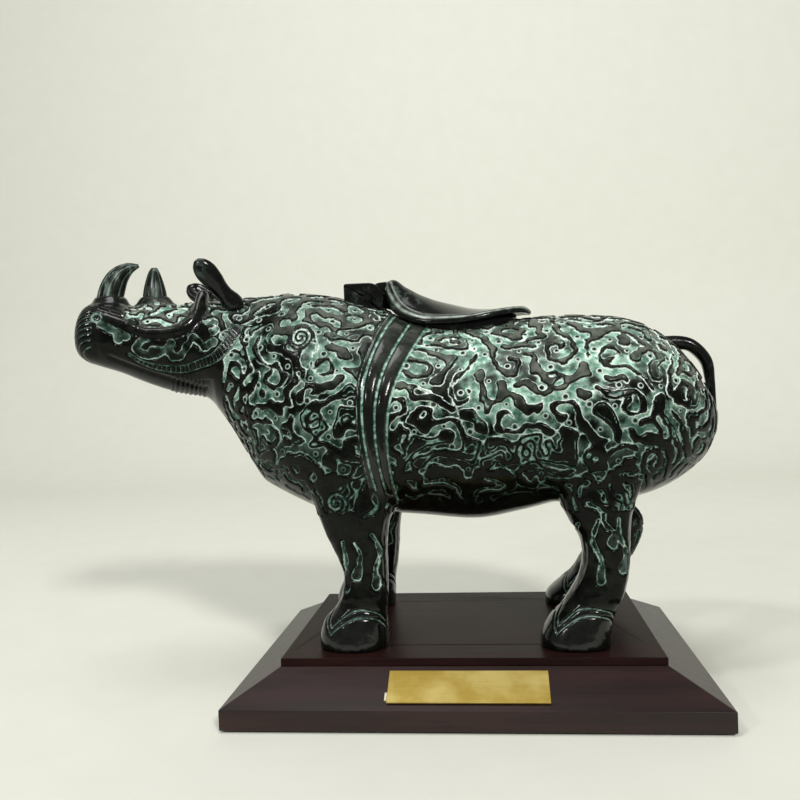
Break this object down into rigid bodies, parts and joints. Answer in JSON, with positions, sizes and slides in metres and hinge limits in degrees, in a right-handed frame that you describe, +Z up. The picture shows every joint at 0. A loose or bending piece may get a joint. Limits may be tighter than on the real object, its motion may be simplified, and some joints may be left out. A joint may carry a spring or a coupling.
{
  "type": "bronze zun wine vessel",
  "caption": "Rhinoceros-shaped bronze wine vessel, hollow, with a hinged saddle lid over the mouth in its back, screwed to a bevelled wooden display base with a brass plaque.",
  "frame": {"origin": "middle of the base's underside, where the felt meets the table", "axes": "+Z up, the animal faces -X, its left side is -Y; base edges lie along X and Y"},
  "size_m": [0.3538, 0.184, 0.2368],
  "materials": {
    "patinated_bronze": "dark green-black patina with pale green wash in the engraved lines, semi-gloss",
    "dark_bronze": "dark polished patina, semi-gloss",
    "eye_glass": "black glass bead",
    "lacquered_wood": "dark red-brown satin lacquer",
    "bare_wood": "bare board",
    "felt": "matt felt",
    "plaque_brass": "brushed brass plate, bare",
    "tape": "matt adhesive tape",
    "steel": "zinc plated"
  },
  "bodies": {
    "vessel": {"body_shell": "patinated_bronze", "head": "patinated_bronze", "front_left_leg": "patinated_bronze", "front_right_leg": "patinated_bronze", "rear_left_leg": "patinated_bronze", "rear_right_leg": "patinated_bronze", "nose_horn": "dark_bronze", "brow_horn": "dark_bronze", "left_ear": "dark_bronze", "right_ear": "dark_bronze", "left_eye": "eye_glass", "right_eye": "eye_glass", "tail": "dark_bronze", "mouth_collar": "patinated_bronze", "hinge_bracket": "dark_bronze", "hinge_pin": "dark_bronze", "top_slab": "lacquered_wood", "backing_board": "bare_wood", "front_rail": "lacquered_wood", "back_rail": "lacquered_wood", "left_rail": "lacquered_wood", "right_rail": "lacquered_wood", "base_felt": "felt", "plaque": "plaque_brass", "plaque_tape": "tape", "mounting_screws": "steel", "washers": "steel"},
    "lid": {"lid": "dark_bronze"}
  },
  "joints": [
    {"name": "lid_hinge", "type": "hinge", "parent": "vessel", "child": "lid", "pos_m": [-0.05199, 0, 0.21204], "axis": [0, -1, 0], "range_deg": [0, 90]}
  ]
}
